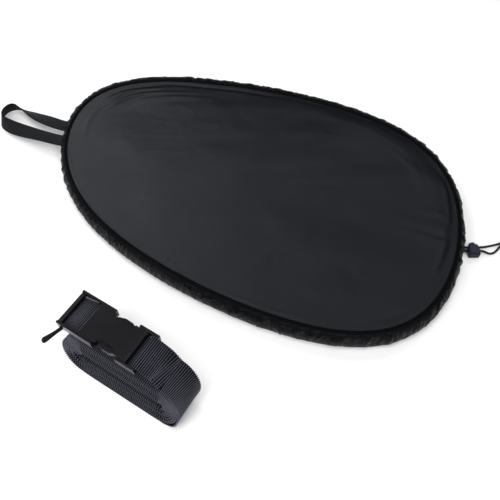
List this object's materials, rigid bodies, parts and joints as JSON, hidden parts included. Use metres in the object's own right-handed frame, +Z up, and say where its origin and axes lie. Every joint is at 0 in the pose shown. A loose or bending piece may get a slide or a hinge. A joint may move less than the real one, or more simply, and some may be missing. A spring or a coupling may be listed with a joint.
{
  "type": "kayak cockpit cover",
  "caption": "Soft oval cockpit cover with a gathered drawcord hem, a sprung cord lock and a webbing grab loop, with its wound tie-down strap and side-release buckle.",
  "frame": {"origin": "middle of the cover's outline, on the plane that the hem rests on", "axes": "+X runs along the cover towards the cord lock, -X towards the grab loop, +Z up through the panel"},
  "size_m": [0.9618, 0.6676, 0.089],
  "materials": {
    "panel_fabric": "satin coated nylon",
    "hem_fabric": "gathered coated nylon",
    "binding_tape": "woven binding tape",
    "loop_webbing": "flat woven webbing",
    "strap_webbing": "ribbed woven webbing",
    "elastic_cord": "braided sleeve",
    "buckle_plastic": "satin moulded",
    "lock_plastic": "semi-gloss moulded",
    "spring_steel": "drawn wire"
  },
  "bodies": {
    "cover": {"top_panel": "panel_fabric", "hem_band": "hem_fabric", "hem_casing": "hem_fabric", "seam_binding": "binding_tape", "shock_cord": "elastic_cord", "cord_exit_tab": "binding_tape", "cord_tail_upper": "elastic_cord", "cord_tail_lower": "elastic_cord", "cord_knot": "elastic_cord", "loop_anchor": "loop_webbing"},
    "loop": {"grab_loop": "loop_webbing"},
    "cord_lock": {"cord_lock_barrel": "lock_plastic", "cord_lock_spring": "spring_steel"},
    "lock_button": {"cord_lock_plunger": "lock_plastic"},
    "strap": {"strap_roll": "strap_webbing", "strap_end_web": "strap_webbing", "strap_tail": "strap_webbing", "buckle_female": "buckle_plastic"},
    "buckle_plug": {"buckle_male": "buckle_plastic", "strap_lead": "strap_webbing"},
    "prong_near_arm": {"prong_near": "buckle_plastic"},
    "prong_far_arm": {"prong_far": "buckle_plastic"}
  },
  "joints": [
    {"name": "loop_lift", "type": "hinge", "parent": "cover", "child": "loop", "pos_m": [-0.3643, -0.0054, 0.025], "axis": [-0.2991, 0.9542, 0], "range_deg": [0, 100]},
    {"name": "lock_slide", "type": "slide", "parent": "cover", "child": "cord_lock", "axis": [0.9397, 0.342, 0], "range_m": [-0.006, 0]},
    {"name": "lock_press", "type": "slide", "parent": "cord_lock", "child": "lock_button", "axis": [0.342, -0.9397, 0], "range_m": [0, 0.003], "stiffness_N_per_m": 1000, "springref_m": -0.004, "deforming": ["cord_lock_spring"]},
    {"name": "strap_lift", "type": "slide", "parent": "cover", "child": "strap", "axis": [0, 0, 1], "range_m": [0, 0.1]},
    {"name": "buckle_release", "type": "slide", "parent": "strap", "child": "buckle_plug", "axis": [0.9781, -0.2079, 0], "range_m": [0, 0.048], "deforming": ["prong_near", "prong_far"]},
    {"name": "prong_far_squeeze", "type": "hinge", "parent": "buckle_plug", "child": "prong_far_arm", "pos_m": [-0.01858, -0.34802, 0.0808], "axis": [0, 0, 1], "range_deg": [0, 7], "stiffness_Nm_per_rad": 0.6},
    {"name": "prong_near_squeeze", "type": "hinge", "parent": "buckle_plug", "child": "prong_near_arm", "pos_m": [-0.02523, -0.37932, 0.0808], "axis": [0, 0, 1], "range_deg": [-7, 0], "stiffness_Nm_per_rad": 0.6}
  ],
  "couplings": [
    {"joint": "prong_near_squeeze", "follows": "prong_far_squeeze", "ratio": -1}
  ]
}
